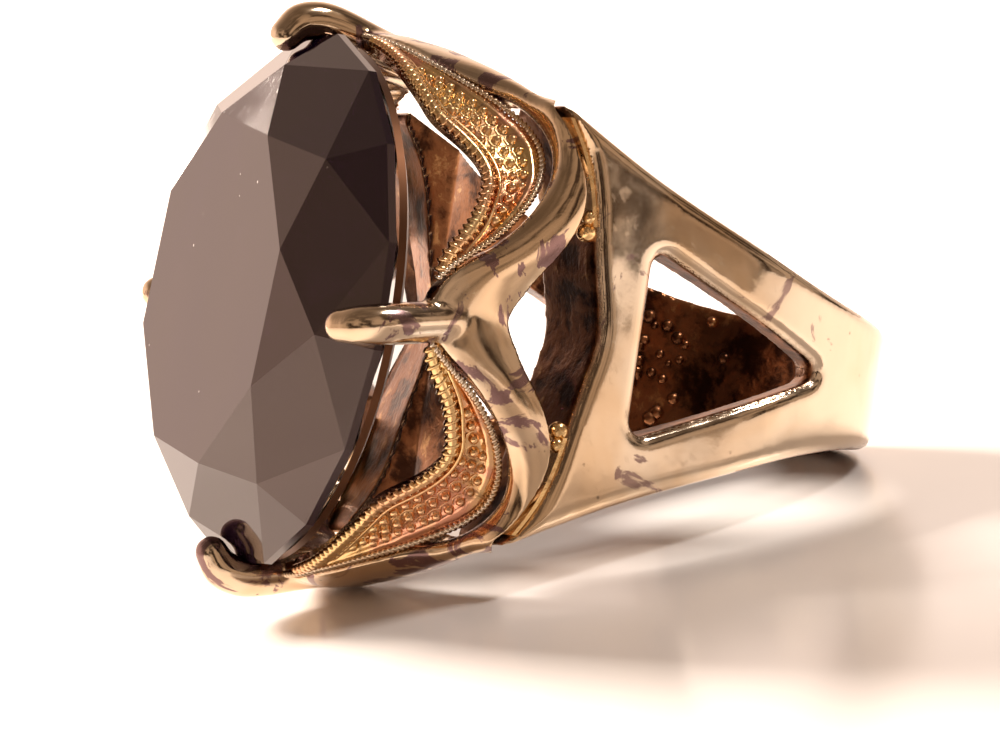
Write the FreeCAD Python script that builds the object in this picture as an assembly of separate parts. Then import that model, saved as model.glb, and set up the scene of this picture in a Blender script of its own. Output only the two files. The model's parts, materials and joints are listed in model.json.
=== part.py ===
# Cocktail ring with a round faceted stone in a four-claw basket, lying on its side.
#
# Every piece is drawn in the ring's own axes, in millimetres:
#   S runs out through one shoulder of the shank, F along the finger, U up through the stone,
#   and the centre of the finger hole is the zero of all three.
# The last section turns the whole assembly into its lying pose: +Z up, the side of the palm and
# the root of the south claw on z = 0, and the stone towards -X.
import FreeCAD
import Part
import math
import os

Vector = FreeCAD.Vector

# Shank
FINGER_RADIUS = 9.0
PALM_RADIUS = 10.7
FLARE_RISE = 10.0
FLARE_OUT = 1.0
SHANK_OUTLINE = [(2.55, -10.7), (2.75, -8.0), (3.60, -4.0), (5.10, 0.0), (6.95, 4.5), (8.05, 6.8), (9.25, 9.25)]
SCOOP_EDGE = [(0.0, 6.20), (2.0, 6.55), (4.0, 7.00), (6.0, 7.45), (7.6, 8.10), (8.8, 8.85), (10.2, 9.7)]
SCOOP_SLOPE = math.radians(5.0)
THROAT_HALF_WIDTH = 6.1
WINDOW_BASE_HALF = 4.05
WINDOW_BASE_U = 4.15
WINDOW_APEX_U = -4.95
WINDOW_CORNER = 0.55
WINDOW_BEVEL = 0.55
SHANK_EDGE_ROUND = 0.6
CUTTER_REACH = 20.0
ON_SURFACE = 0.01

# Stone
GIRDLE_RADIUS = 11.43
GIRDLE_U = 16.0
GIRDLE_THICKNESS = 0.34
TABLE_RADIUS = 7.6
CROWN_HEIGHT = 3.25
STAR_RADIUS = 9.76
PAVILION_DEPTH = 6.0
LOWER_FACET_RADIUS = 3.2
STONE_FOLD = 8
STONE_TURN = math.radians(12.0)

# Basket
SEAT_OUTER = 11.05
SEAT_INNER = 10.35
SEAT_WALL = 0.35
SEAT_CLEARANCE = 0.04
CLAW_PATH = [(10.60, 10.9, 0.80), (10.95, 12.6, 0.82), (11.35, 14.2, 0.84), (11.72, 15.6, 0.87),
             (11.78, 16.5, 0.88), (11.50, 17.25, 0.84), (11.00, 17.65, 0.70)]
CLAW_LEANS = {"east": -1.3, "north": 0.0, "west": 0.0, "south": 0.0}
CLAW_DOME = [(0.97, 0.25), (0.87, 0.50), (0.60, 0.80), (0.25, 0.97)]
ARCH_INNER = [(0, 14.0), (6, 13.6), (12.5, 12.0), (19, 10.6), (25, 9.7), (32, 9.1), (38, 9.0), (44, 9.4),
              (50, 10.3), (56, 11.4), (63, 12.5), (71, 13.4), (79, 14.0), (90, 14.3)]
ARCH_OUTER = [(11.2, 0.0, 10.4), (11.35, 2.0, 9.35), (11.45, 3.9, 8.15), (11.4, 5.3, 7.82), (11.25, 6.6, 8.03),
              (10.9, 7.9, 8.58), (10.2, 9.0, 9.3), (8.8, 9.6, 9.55), (6.2, 10.3, 9.8), (3.2, 10.9, 10.15),
              (0.0, 11.3, 10.4)]
ARCH_DEPTH = 0.90
ARCH_EDGE = 0.14
ARCH_CROWN = 0.28
ARCH_LIP = 0.22
PANEL_RADIUS_TOP = 11.45
PANEL_RADIUS_LOW = 11.85
PANEL_TOP_U = 14.5
PANEL_LOW_U = 9.0
ROPE_RADIUS = 0.24
ROPE_GAP = 0.07
ROPE_START = 0.05
ROPE_END = 0.96
RIDGE_PATH = [(8.5, 13.85), (15, 12.95), (20, 12.3), (25.3, 11.85), (30.4, 11.7), (35.5, 12.0), (40, 12.75),
              (44.5, 13.45), (51, 13.9), (62, 14.2), (73, 14.35), (80, 14.4)]
RIDGE_RADIUS = 0.36
RIDGE_SINK = 0.10
PANEL_THICKNESS = 0.5
PANEL_STATIONS = range(3, 18)
PANEL_RECESS = 0.30
GRAIN_RADIUS = 0.24
GRAIN_PITCH = 0.61
GRAIN_ROWS = (0.22, 0.50, 0.79)
GRAIN_MARGIN = 0.26
GRAIN_LIFT = 0.13
SOLDER_GAP = 0.18
SOLDER_SPAN = (4.4, 8.7)
SOLDER_DEPTH = (9.96, 11.25)
SOLDER_STATIONS = 8
SOLDER_BALLS = ((10.75, 4.15, 0.42), (10.95, 4.75, 0.32))
SOLDER_BALL_LIFT = 0.6

# Lying still, the ring leans on the side of its palm and on the root of the south claw
LYING_PITCH = math.radians(22.9)
LYING_ROLL = math.radians(3.5)

QUADRANTS = {"northeast": (1, 1), "northwest": (-1, 1), "southwest": (-1, -1), "southeast": (1, -1)}
CLAWS = {"east": 0.0, "north": 90.0, "west": 180.0, "south": 270.0}
STATIONS = 20
CLAW_CIRCLES = 12


def curve_through(points):
    curve = Part.BSplineCurve()
    curve.interpolate([Vector(*p) for p in points])
    return curve


def at(curve, t):
    first = curve.FirstParameter
    return curve.value(first + (curve.LastParameter - first) * t)


def loft(sections):
    solid = Part.makeLoft(sections, True, False)
    if solid.Volume < 0:
        solid.reverse()
    return solid


def tube(centres, radii, ends=None):
    """A round bar through the centres; ends gives the way it points at its two ends."""
    sections = []
    last = len(centres) - 1
    for i, (centre, radius) in enumerate(zip(centres, radii)):
        along = centres[min(i + 1, last)].sub(centres[max(i - 1, 0)])
        if ends and i == 0:
            along = ends[0]
        if ends and i == last:
            along = ends[1]
        sections.append(Part.Wire([Part.Circle(centre, along, radius).toShape()]))
    return loft(sections)


def panel_radius(u):
    """The ornamental panels lean out a little as they go down from the stone."""
    t = min(max((PANEL_TOP_U - u) / (PANEL_TOP_U - PANEL_LOW_U), 0.0), 1.0)
    return PANEL_RADIUS_TOP + (PANEL_RADIUS_LOW - PANEL_RADIUS_TOP) * t


def on_panel(degrees, u, lift=0.0):
    angle = math.radians(degrees)
    radius = panel_radius(u) + lift
    return Vector(radius * math.cos(angle), radius * math.sin(angle), u)


def outward(point):
    return Vector(point.x, point.y, 0).normalize()


def to_quadrant(shape, quadrant):
    """Pieces are drawn in the northeast quarter and mirrored across the ring's two mid-planes."""
    sign_s, sign_f = QUADRANTS[quadrant]
    if sign_s < 0:
        shape = shape.mirror(Vector(0, 0, 0), Vector(1, 0, 0))
    if sign_f < 0:
        shape = shape.mirror(Vector(0, 0, 0), Vector(0, 1, 0))
    return shape


# ---------------------------------------------------------------- shank

def shoulder_profile():
    """Side view of the band without its hole: round at the palm, then flaring straight up."""
    flare_radius = (FLARE_RISE ** 2 + FLARE_OUT ** 2) / (2 * FLARE_OUT)
    top = Vector(PALM_RADIUS + FLARE_OUT, 0, FLARE_RISE)
    side = Vector(PALM_RADIUS, 0, 0)
    half = math.asin(FLARE_RISE / flare_radius) / 2
    mid = Vector(PALM_RADIUS + flare_radius * (1 - math.cos(half)), 0, flare_radius * math.sin(half))
    far_side, far_mid, far_top = (Vector(-p.x, 0, p.z) for p in (side, mid, top))
    edges = [Part.Arc(far_side, Vector(0, 0, -PALM_RADIUS), side).toShape(),
             Part.Arc(side, mid, top).toShape(),
             Part.makeLine(top, far_top),
             Part.Arc(far_top, far_mid, far_side).toShape()]
    return Part.Face(Part.Wire(edges))


def plan_outline():
    """The band seen from its shoulder: narrow at the palm and widening towards the stone."""
    right = [Vector(0, f, u) for f, u in SHANK_OUTLINE]
    left = [Vector(0, -f, u) for f, u in reversed(SHANK_OUTLINE)]
    below = Vector(0, 0, -1.0)
    edges = [curve_through(right).toShape(), Part.makeLine(right[-1], left[0]), curve_through(left).toShape(),
             Part.makeLine(left[-1], left[-1].add(below)),
             Part.makeLine(left[-1].add(below), right[0].add(below)),
             Part.makeLine(right[0].add(below), right[0])]
    return Part.Face(Part.Wire(edges))


def lip_height(f):
    """Height of the scooped top edge of a shoulder, where it meets the band's outer surface."""
    lip = curve_through([(0, edge_f, edge_u) for edge_f, edge_u in SCOOP_EDGE])
    low, high = 0.0, 1.0
    while high - low > 1e-7:
        middle = (low + high) / 2
        if at(lip, middle).y < f:
            low = middle
        else:
            high = middle
    return at(lip, low).z


def scoop_prism(lid):
    """The space between one shoulder's scooped top edge and a level lid, rising slightly inwards."""
    half = [Vector(0, f, u) for f, u in SCOOP_EDGE]
    other = [Vector(0, -p.y, p.z) for p in reversed(half[1:])]
    lip = curve_through(other + half)
    start, end = at(lip, 0), at(lip, 1)
    edges = [lip.toShape(), Part.makeLine(end, Vector(0, end.y, lid)),
             Part.makeLine(Vector(0, end.y, lid), Vector(0, start.y, lid)),
             Part.makeLine(Vector(0, start.y, lid), start)]
    face = Part.Face(Part.Wire(edges))
    rise = math.tan(SCOOP_SLOPE)
    face.translate(Vector(CUTTER_REACH, 0, -(CUTTER_REACH - PALM_RADIUS - FLARE_OUT) * rise))
    return face.extrude(Vector(-CUTTER_REACH, 0, CUTTER_REACH * rise))


def window_prism():
    """A rounded triangle cut straight through both shoulders, its point towards the palm."""
    corners = [Vector(0, WINDOW_BASE_HALF, WINDOW_BASE_U), Vector(0, -WINDOW_BASE_HALF, WINDOW_BASE_U),
               Vector(0, 0, WINDOW_APEX_U)]
    edges = []
    joins = []
    for i, corner in enumerate(corners):
        before = corners[i - 1].sub(corner).normalize()
        after = corners[(i + 1) % 3].sub(corner).normalize()
        half = before.getAngle(after) / 2
        back = WINDOW_CORNER / math.tan(half)
        middle = before.add(after).normalize() * (WINDOW_CORNER / math.sin(half) - WINDOW_CORNER)
        joins.append((corner.add(before * back), corner.add(middle), corner.add(after * back)))
    for i, (start, middle, end) in enumerate(joins):
        edges.append(Part.Arc(start, middle, end).toShape())
        edges.append(Part.makeLine(end, joins[(i + 1) % 3][0]))
    face = Part.Face(Part.Wire(edges))
    face.translate(Vector(-CUTTER_REACH, 0, 0))
    return face.extrude(Vector(2 * CUTTER_REACH, 0, 0))


def outer_offset(point):
    """How far a point stands off the band's outer surface."""
    if point.z < 0:
        return math.hypot(point.x, point.z) - PALM_RADIUS
    flare_radius = (FLARE_RISE ** 2 + FLARE_OUT ** 2) / (2 * FLARE_OUT)
    return abs(point.x) - PALM_RADIUS - flare_radius + math.sqrt(flare_radius ** 2 - point.z ** 2)


def edges_where(shape, test):
    chosen = []
    for edge in shape.Edges:
        points = edge.discretize(5)
        if all(test(p) for p in points):
            chosen.append(edge)
    return chosen


def make_shank():
    side = shoulder_profile()
    reach = CUTTER_REACH
    side.translate(Vector(0, -reach, 0))
    body = side.extrude(Vector(0, 2 * reach, 0))
    plan = plan_outline()
    plan.translate(Vector(-reach, 0, 0))
    body = body.common(plan.extrude(Vector(2 * reach, 0, 0)))
    bore = Part.makeCylinder(FINGER_RADIUS, 2 * reach, Vector(0, -reach, 0), Vector(0, 1, 0))
    throat = Part.makeBox(2 * THROAT_HALF_WIDTH, 2 * reach, reach, Vector(-THROAT_HALF_WIDTH, -reach, 0))
    body = body.cut(bore).cut(throat)
    scoop = scoop_prism(CUTTER_REACH)
    body = body.cut(scoop).cut(scoop.mirror(Vector(0, 0, 0), Vector(1, 0, 0)))
    body = body.removeSplitter()
    on_outside = edges_where(body, lambda p: abs(outer_offset(p)) < ON_SURFACE)
    body = body.makeFillet(SHANK_EDGE_ROUND, on_outside)
    body = body.cut(window_prism())
    around = WINDOW_BEVEL / 2

    def rims_window(p):
        inside = abs(p.y) < WINDOW_BASE_HALF + around
        return inside and WINDOW_APEX_U - around < p.z < WINDOW_BASE_U + around and abs(outer_offset(p)) < ON_SURFACE

    on_window = edges_where(body, rims_window)
    return max(body.makeFillet(WINDOW_BEVEL, on_window).Solids, key=lambda s: s.Volume)


def stone_vertex(radius, step, u):
    """A stone corner at a step of a sixteenth of a turn; corner 0 points near the S axis."""
    angle = STONE_TURN + step * math.pi / STONE_FOLD
    return Vector(radius * math.cos(angle), radius * math.sin(angle), u)


def make_stone():
    """A round brilliant: flat table, kites and stars on the crown, a thin girdle and a shallow point."""
    top = GIRDLE_U + GIRDLE_THICKNESS / 2
    low = GIRDLE_U - GIRDLE_THICKNESS / 2
    half_step = math.cos(math.pi / STONE_FOLD)
    crown_slope = CROWN_HEIGHT / (GIRDLE_RADIUS - TABLE_RADIUS)
    star_u = top + crown_slope * (GIRDLE_RADIUS - STAR_RADIUS * half_step)
    pavilion_slope = PAVILION_DEPTH / GIRDLE_RADIUS
    culet = Vector(0, 0, low - PAVILION_DEPTH)
    lower_u = culet.z + pavilion_slope * LOWER_FACET_RADIUS * half_step
    table = [stone_vertex(TABLE_RADIUS, k, top + CROWN_HEIGHT) for k in range(0, 16, 2)]
    facets = [table]
    for k in range(0, 16, 2):
        corner = stone_vertex(TABLE_RADIUS, k, top + CROWN_HEIGHT)
        following = stone_vertex(TABLE_RADIUS, k + 2, top + CROWN_HEIGHT)
        star = stone_vertex(STAR_RADIUS, k + 1, star_u)
        before = stone_vertex(STAR_RADIUS, k - 1, star_u)
        rim = [stone_vertex(GIRDLE_RADIUS, k + i, top) for i in range(3)]
        foot = [stone_vertex(GIRDLE_RADIUS, k + i, low) for i in range(3)]
        lower = stone_vertex(LOWER_FACET_RADIUS, k + 1, lower_u)
        lower_before = stone_vertex(LOWER_FACET_RADIUS, k - 1, lower_u)
        facets += [[corner, star, following], [corner, before, rim[0], star],
                   [star, rim[0], rim[1]], [star, rim[1], rim[2]],
                   [rim[0], foot[0], foot[1], rim[1]], [rim[1], foot[1], foot[2], rim[2]],
                   [foot[0], lower, foot[1]], [foot[1], lower, foot[2]],
                   [foot[0], lower_before, culet, lower]]
    faces = [Part.Face(Part.makePolygon(points + [points[0]])) for points in facets]
    solid = Part.makeSolid(Part.makeShell(faces))
    if solid.Volume < 0:
        solid.reverse()
    return solid


def make_seat_ring():
    """The narrow bearing rail that the stone's lower edge rests on."""
    slope = PAVILION_DEPTH / GIRDLE_RADIUS
    def under_stone(radius):
        return GIRDLE_U - GIRDLE_THICKNESS / 2 - slope * (GIRDLE_RADIUS - radius) - SEAT_CLEARANCE
    outer_top = under_stone(SEAT_OUTER)
    inner_top = under_stone(SEAT_INNER)
    corners = [Vector(SEAT_OUTER, 0, outer_top), Vector(SEAT_INNER, 0, inner_top),
               Vector(SEAT_INNER, 0, inner_top - SEAT_WALL), Vector(SEAT_OUTER, 0, outer_top - SEAT_WALL)]
    face = Part.Face(Part.makePolygon(corners + [corners[0]]))
    return face.revolve(Vector(0, 0, 0), Vector(0, 0, 1), 360)


def make_claw(degrees, lean, stone, seat):
    """A round claw that rises from the arches, is notched for the stone and folds over its edge."""
    foot, top = CLAW_PATH[0][1], CLAW_PATH[-1][1]
    path = curve_through([(r, lean * (u - foot) / (top - foot), u) for r, u, _ in CLAW_PATH])
    width = curve_through([(i, radius, 0) for i, (_, _, radius) in enumerate(CLAW_PATH)])
    steps = [i / (CLAW_CIRCLES - 1) for i in range(CLAW_CIRCLES)]
    radii = [at(width, t).y for t in steps]
    centres = [at(path, t) for t in steps]
    tip = centres[-1]
    over = tip.sub(centres[-2]).normalize()
    for share, height in CLAW_DOME:
        centres.append(tip.add(over * (CLAW_PATH[-1][2] * height)))
        radii.append(CLAW_PATH[-1][2] * share)
    claw = tube(centres, radii, (Vector(0, 0, 1), over))
    claw.rotate(Vector(0, 0, 0), Vector(0, 0, 1), degrees)
    claw = claw.cut(stone).cut(seat)
    return max(claw.Solids, key=lambda s: s.Volume)


def arch_paths():
    inner = curve_through([tuple(on_panel(a, u, ARCH_LIP)) for a, u in ARCH_INNER])
    outer = curve_through(ARCH_OUTER)
    return inner, outer


def depth_at(point):
    """How thick the arch can be under a point of its face, clear of the shank's scooped edge."""
    if point.y > SHANK_OUTLINE[-1][0] or point.x < THROAT_HALF_WIDTH:
        return ARCH_DEPTH
    room = point.z - on_lip(point.y, point.x, SOLDER_GAP).z
    return min(max(room, ARCH_EDGE), ARCH_DEPTH)


def make_arch():
    """The smooth arch from the east claw down to the shank's corner and up to the north claw."""
    inner, outer = arch_paths()
    starts = [at(inner, i / STATIONS) for i in range(STATIONS + 1)]
    ends = [at(outer, i / STATIONS) for i in range(STATIONS + 1)]
    middles = [(a + b) * 0.5 for a, b in zip(starts, ends)]
    sections = []
    for i, (a, b) in enumerate(zip(starts, ends)):
        along = middles[min(i + 1, STATIONS)].sub(middles[max(i - 1, 0)])
        if i in (0, STATIONS):
            along = Vector(0, 0, 1).cross(outward(middles[i]))
        face = b.sub(a).cross(along).normalize()
        crest = curve_through([a, middles[i].add(face * ARCH_CROWN), b])
        a_back, b_back = a.sub(face * depth_at(a)), b.sub(face * depth_at(b))
        sections.append(Part.Wire([crest.toShape(), Part.makeLine(b, b_back), Part.makeLine(b_back, a_back),
                                   Part.makeLine(a_back, a)]))
    return loft(sections)


def trimmed(shape, claws):
    """The piece without what the claws take up."""
    for claw in claws:
        shape = shape.cut(claw)
    return max(shape.Solids, key=lambda s: s.Volume)


def rope_centres():
    """The rope border runs just inside the arch, from claw to claw."""
    path = curve_through([tuple(on_panel(a, u)) for a, u in ARCH_INNER])
    centres = []
    for i in range(STATIONS + 1):
        t = ROPE_START + (ROPE_END - ROPE_START) * i / STATIONS
        point = at(path, t)
        ahead = at(path, min(t + 0.01, 1.0)).sub(at(path, max(t - 0.01, 0.0))).normalize()
        inside = ahead.cross(outward(point)).normalize() * -1
        centres.append(point.add(inside * (ROPE_RADIUS + ROPE_GAP)))
    return centres


def make_rope():
    return tube(rope_centres(), [ROPE_RADIUS] * (STATIONS + 1))


def ridge_centres():
    path = curve_through([tuple(on_panel(a, u, -RIDGE_SINK)) for a, u in RIDGE_PATH])
    return [at(path, i / STATIONS) for i in range(STATIONS + 1)]


def make_ridge():
    """The raised wire that edges the open window beside the stone."""
    return tube(ridge_centres(), [RIDGE_RADIUS] * (STATIONS + 1))


def panel_edges():
    """Matching points down the two long edges of the crescent panel, between rope and ridge."""
    ropes, ridges = rope_centres(), ridge_centres()
    low, high = [], []
    for i in PANEL_STATIONS:
        across = ridges[i].sub(ropes[i]).normalize()
        recess = outward(ropes[i]) * PANEL_RECESS
        low.append(ropes[i].add(across * (ROPE_RADIUS + ROPE_GAP)).sub(recess))
        high.append(ridges[i].sub(across * (RIDGE_RADIUS + ROPE_GAP)).sub(recess))
    return low, high


def make_panel():
    """The crescent plate that carries the grains, set back behind the rope and the ridge."""
    sections = []
    for low, high in zip(*panel_edges()):
        inwards = outward((low + high) * 0.5) * -PANEL_THICKNESS
        corners = [low, high, high.add(inwards), low.add(inwards)]
        sections.append(Part.makePolygon(corners + [corners[0]]))
    return loft(sections)


def make_grains(panel):
    """Small beads in rows over the panel, three where it is widest, each sunk a little into it."""
    low, high = panel_edges()
    balls = []
    for row, share in enumerate(GRAIN_ROWS):
        line = curve_through([tuple(a + (b - a) * share) for a, b in zip(low, high)])
        length = line.length()
        count = int(length / GRAIN_PITCH)
        for i in range(1, count):
            t = (i + 0.5 * (row % 2)) / count
            here = at(line, t)
            near = min(zip(low, high), key=lambda pair: (pair[0] + (pair[1] - pair[0]) * share).sub(here).Length)
            if near[1].sub(near[0]).Length * min(share, 1 - share) < GRAIN_MARGIN:
                continue
            balls.append(Part.makeSphere(GRAIN_RADIUS, here.add(outward(here) * GRAIN_LIFT)))
    grains = Part.makeCompound([ball.cut(panel) for ball in balls])
    return Part.makeCompound(grains.Solids)


def on_lip(f, s, lift):
    return Vector(s, f, lip_height(f) + (PALM_RADIUS + FLARE_OUT - s) * math.tan(SCOOP_SLOPE) + lift)


def make_solder(arch, shank):
    """The brazed seam between an arch and the shank's scooped edge, with two beads at its end."""
    first, last = SOLDER_SPAN
    inside, outside = SOLDER_DEPTH
    sections = []
    for i in range(SOLDER_STATIONS + 1):
        f = first + (last - first) * i / SOLDER_STATIONS
        corners = [on_lip(f, outside, 0), on_lip(f, outside, SOLDER_GAP), on_lip(f, inside, SOLDER_GAP),
                   on_lip(f, inside, 0)]
        sections.append(Part.makePolygon(corners + [corners[0]]))
    seam = loft(sections)
    solids = [seam]
    for s, f, radius in SOLDER_BALLS:
        ball = Part.makeSphere(radius, on_lip(f, s, radius * SOLDER_BALL_LIFT)).cut(shank).cut(seam).cut(arch)
        for other in solids[1:]:
            ball = ball.cut(other)
        solids += ball.Solids
    return Part.makeCompound(solids)


def lie_down(pieces):
    """Turn every piece from the ring's own axes into the pose in which the ring lies still."""
    level = math.cos(LYING_ROLL)
    up = Vector(math.sin(LYING_ROLL), level * math.cos(LYING_PITCH), level * math.sin(LYING_PITCH))
    along = Vector(0, 0, -1)
    along = along.sub(up * along.dot(up)).normalize()
    across = up.cross(along)
    turn = FreeCAD.Matrix(along.x, along.y, along.z, 0, across.x, across.y, across.z, 0,
                          up.x, up.y, up.z, 0)
    turned = {name: shape.copy() for name, shape in pieces.items()}
    for shape in turned.values():
        shape.Placement = FreeCAD.Placement(turn).multiply(shape.Placement)
    box = Part.makeCompound(list(turned.values())).optimalBoundingBox(False)
    base = Vector(-(box.XMin + box.XMax) / 2, -(box.YMin + box.YMax) / 2, -box.ZMin)
    for shape in turned.values():
        shape.translate(base)
    print("up", up, "along", along, "across", across)
    print("hole centre", base, "size", box.XLength, box.YLength, box.ZLength)
    return turned


def main():
    os.makedirs("parts", exist_ok=True)
    pieces = {"shank": make_shank(), "stone": make_stone(), "seat_ring": make_seat_ring()}
    for name, degrees in CLAWS.items():
        pieces["claw_" + name] = make_claw(degrees, CLAW_LEANS[name], pieces["stone"], pieces["seat_ring"])
    claws = [pieces["claw_" + name] for name in CLAWS]
    arch = make_arch()
    panel = make_panel()
    between_claws = {"arch": arch, "rope": make_rope(), "ridge": make_ridge()}
    in_the_middle = {"panel": panel, "grains": make_grains(panel), "solder": make_solder(arch, pieces["shank"])}
    for quadrant in QUADRANTS:
        for kind, shape in between_claws.items():
            pieces[kind + "_" + quadrant] = trimmed(to_quadrant(shape, quadrant), claws)
        for kind, shape in in_the_middle.items():
            pieces[kind + "_" + quadrant] = to_quadrant(shape, quadrant)
    for name, shape in lie_down(pieces).items():
        print(name, shape.ShapeType, shape.isValid(), round(shape.Volume, 2), len(shape.Faces), len(shape.Solids))
        shape.exportStep("parts/" + name + ".step")


main()
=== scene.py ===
# Cocktail ring: a big faceted glass stone in a four-claw basket with beaded crescent panels, on a wide
# pierced shank. It lies on its side on a pale glossy sheet.
import json
import math

import bmesh
import bpy
import numpy as np
from mathutils import Matrix, Vector

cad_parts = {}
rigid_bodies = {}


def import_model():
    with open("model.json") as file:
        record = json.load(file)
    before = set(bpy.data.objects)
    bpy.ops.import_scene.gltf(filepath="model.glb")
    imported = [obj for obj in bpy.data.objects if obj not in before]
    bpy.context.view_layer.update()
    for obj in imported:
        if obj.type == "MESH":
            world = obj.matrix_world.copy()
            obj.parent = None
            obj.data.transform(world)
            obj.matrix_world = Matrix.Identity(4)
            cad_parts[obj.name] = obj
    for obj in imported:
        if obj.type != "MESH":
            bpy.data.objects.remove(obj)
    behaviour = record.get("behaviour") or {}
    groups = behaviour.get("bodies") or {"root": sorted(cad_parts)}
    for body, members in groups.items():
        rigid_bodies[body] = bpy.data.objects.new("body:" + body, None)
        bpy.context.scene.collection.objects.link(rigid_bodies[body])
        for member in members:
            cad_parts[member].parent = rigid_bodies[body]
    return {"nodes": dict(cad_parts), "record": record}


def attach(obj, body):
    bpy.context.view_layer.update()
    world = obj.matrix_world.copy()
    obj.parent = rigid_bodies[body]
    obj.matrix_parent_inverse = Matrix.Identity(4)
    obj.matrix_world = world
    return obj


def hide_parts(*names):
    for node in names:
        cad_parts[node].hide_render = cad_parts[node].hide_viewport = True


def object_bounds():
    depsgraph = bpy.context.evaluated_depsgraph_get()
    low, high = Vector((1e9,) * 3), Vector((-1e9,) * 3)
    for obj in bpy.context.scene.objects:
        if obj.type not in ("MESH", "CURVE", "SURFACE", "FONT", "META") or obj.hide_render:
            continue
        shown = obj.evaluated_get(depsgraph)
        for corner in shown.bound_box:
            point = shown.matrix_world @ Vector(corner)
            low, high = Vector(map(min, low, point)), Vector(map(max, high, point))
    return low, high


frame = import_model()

# ---------------------------------------------------------------- how the ring lies, and the view of it
# The ring lies on its side, so everything is drawn in the ring's own axes and then laid down: S out
# through the near shoulder, F along the finger, U up through the stone, with 0 at the hole's centre.
# The axes are read from the finger hole and from the stone, which the CAD frame holds.

MM = 0.001
nodes = frame["nodes"]
cad_low, cad_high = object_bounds()
hole = next(m for m in frame["record"]["mounts"] if m["name"] == "finger_hole")
hole_centre = Vector(hole["pos_m"])
stone_corners = nodes["stone"].data.vertices
stone_middle = sum((v.co for v in stone_corners), Vector()) / len(stone_corners)
finger = Vector(hole["axis"]).normalized()
upwards = stone_middle - hole_centre
upwards = (upwards - finger * upwards.dot(finger)).normalized()
shoulder = finger.cross(upwards)
LAID_DOWN = Matrix.Translation(hole_centre) @ Matrix((shoulder, finger, upwards)).transposed().to_4x4()
STOOD_UP = LAID_DOWN.inverted()

VIEW_AZIMUTH = math.radians(22.64)
VIEW_ELEVATION = math.radians(-2.66)
VIEW_ROLL = math.radians(8.12)
VIEW_DISTANCE = 355.83 * MM
VIEW_CENTRE = Vector((0, 0, 8.0)) * MM
VIEW_SLIDE = Vector((-1.7534, 2.0035)) * MM
LENS = 301.7

towards = Vector((math.cos(VIEW_ELEVATION) * math.cos(VIEW_AZIMUTH), math.sin(VIEW_ELEVATION),
                  math.cos(VIEW_ELEVATION) * math.sin(VIEW_AZIMUTH)))
level = Vector((0, 1, 0)).cross(towards).normalized()
above = towards.cross(level)
right = level * math.cos(VIEW_ROLL) + above * math.sin(VIEW_ROLL)
up = above * math.cos(VIEW_ROLL) - level * math.sin(VIEW_ROLL)
eye = VIEW_CENTRE - right * VIEW_SLIDE.x - up * VIEW_SLIDE.y + towards * VIEW_DISTANCE
seen_from = Matrix((right, up, towards)).transposed().to_4x4()
seen_from.translation = eye
camera = bpy.data.objects.new("camera", bpy.data.cameras.new("camera"))
camera.data.lens = LENS
camera.data.clip_start = 0.01
camera.data.clip_end = 20.0
camera.matrix_world = LAID_DOWN @ seen_from
bpy.context.scene.collection.objects.link(camera)
bpy.context.scene.camera = camera


# ---------------------------------------------------------------- stone
# One round brilliant of nearly opaque purple-black glass, cut with flat facets and polished. It sits on
# the seat ring and is held by the four claws. Its facets carry fine scratches and a few specks of dust.

class Amount:
    """A number or a colour that varies over a surface, for use in plain expressions."""

    def __init__(self, recipe, socket):
        self.recipe = recipe
        self.socket = socket

    def combine(self, operation, first, second):
        return self.recipe.node("ShaderNodeMath", {"operation": operation}, {0: first, 1: second})

    def __add__(self, other):
        return self.combine("ADD", self, other)

    def __radd__(self, other):
        return self.combine("ADD", other, self)

    def __sub__(self, other):
        return self.combine("SUBTRACT", self, other)

    def __rsub__(self, other):
        return self.combine("SUBTRACT", other, self)

    def __mul__(self, other):
        return self.combine("MULTIPLY", self, other)

    def __rmul__(self, other):
        return self.combine("MULTIPLY", other, self)

    def __truediv__(self, other):
        return self.combine("DIVIDE", self, other)


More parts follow.
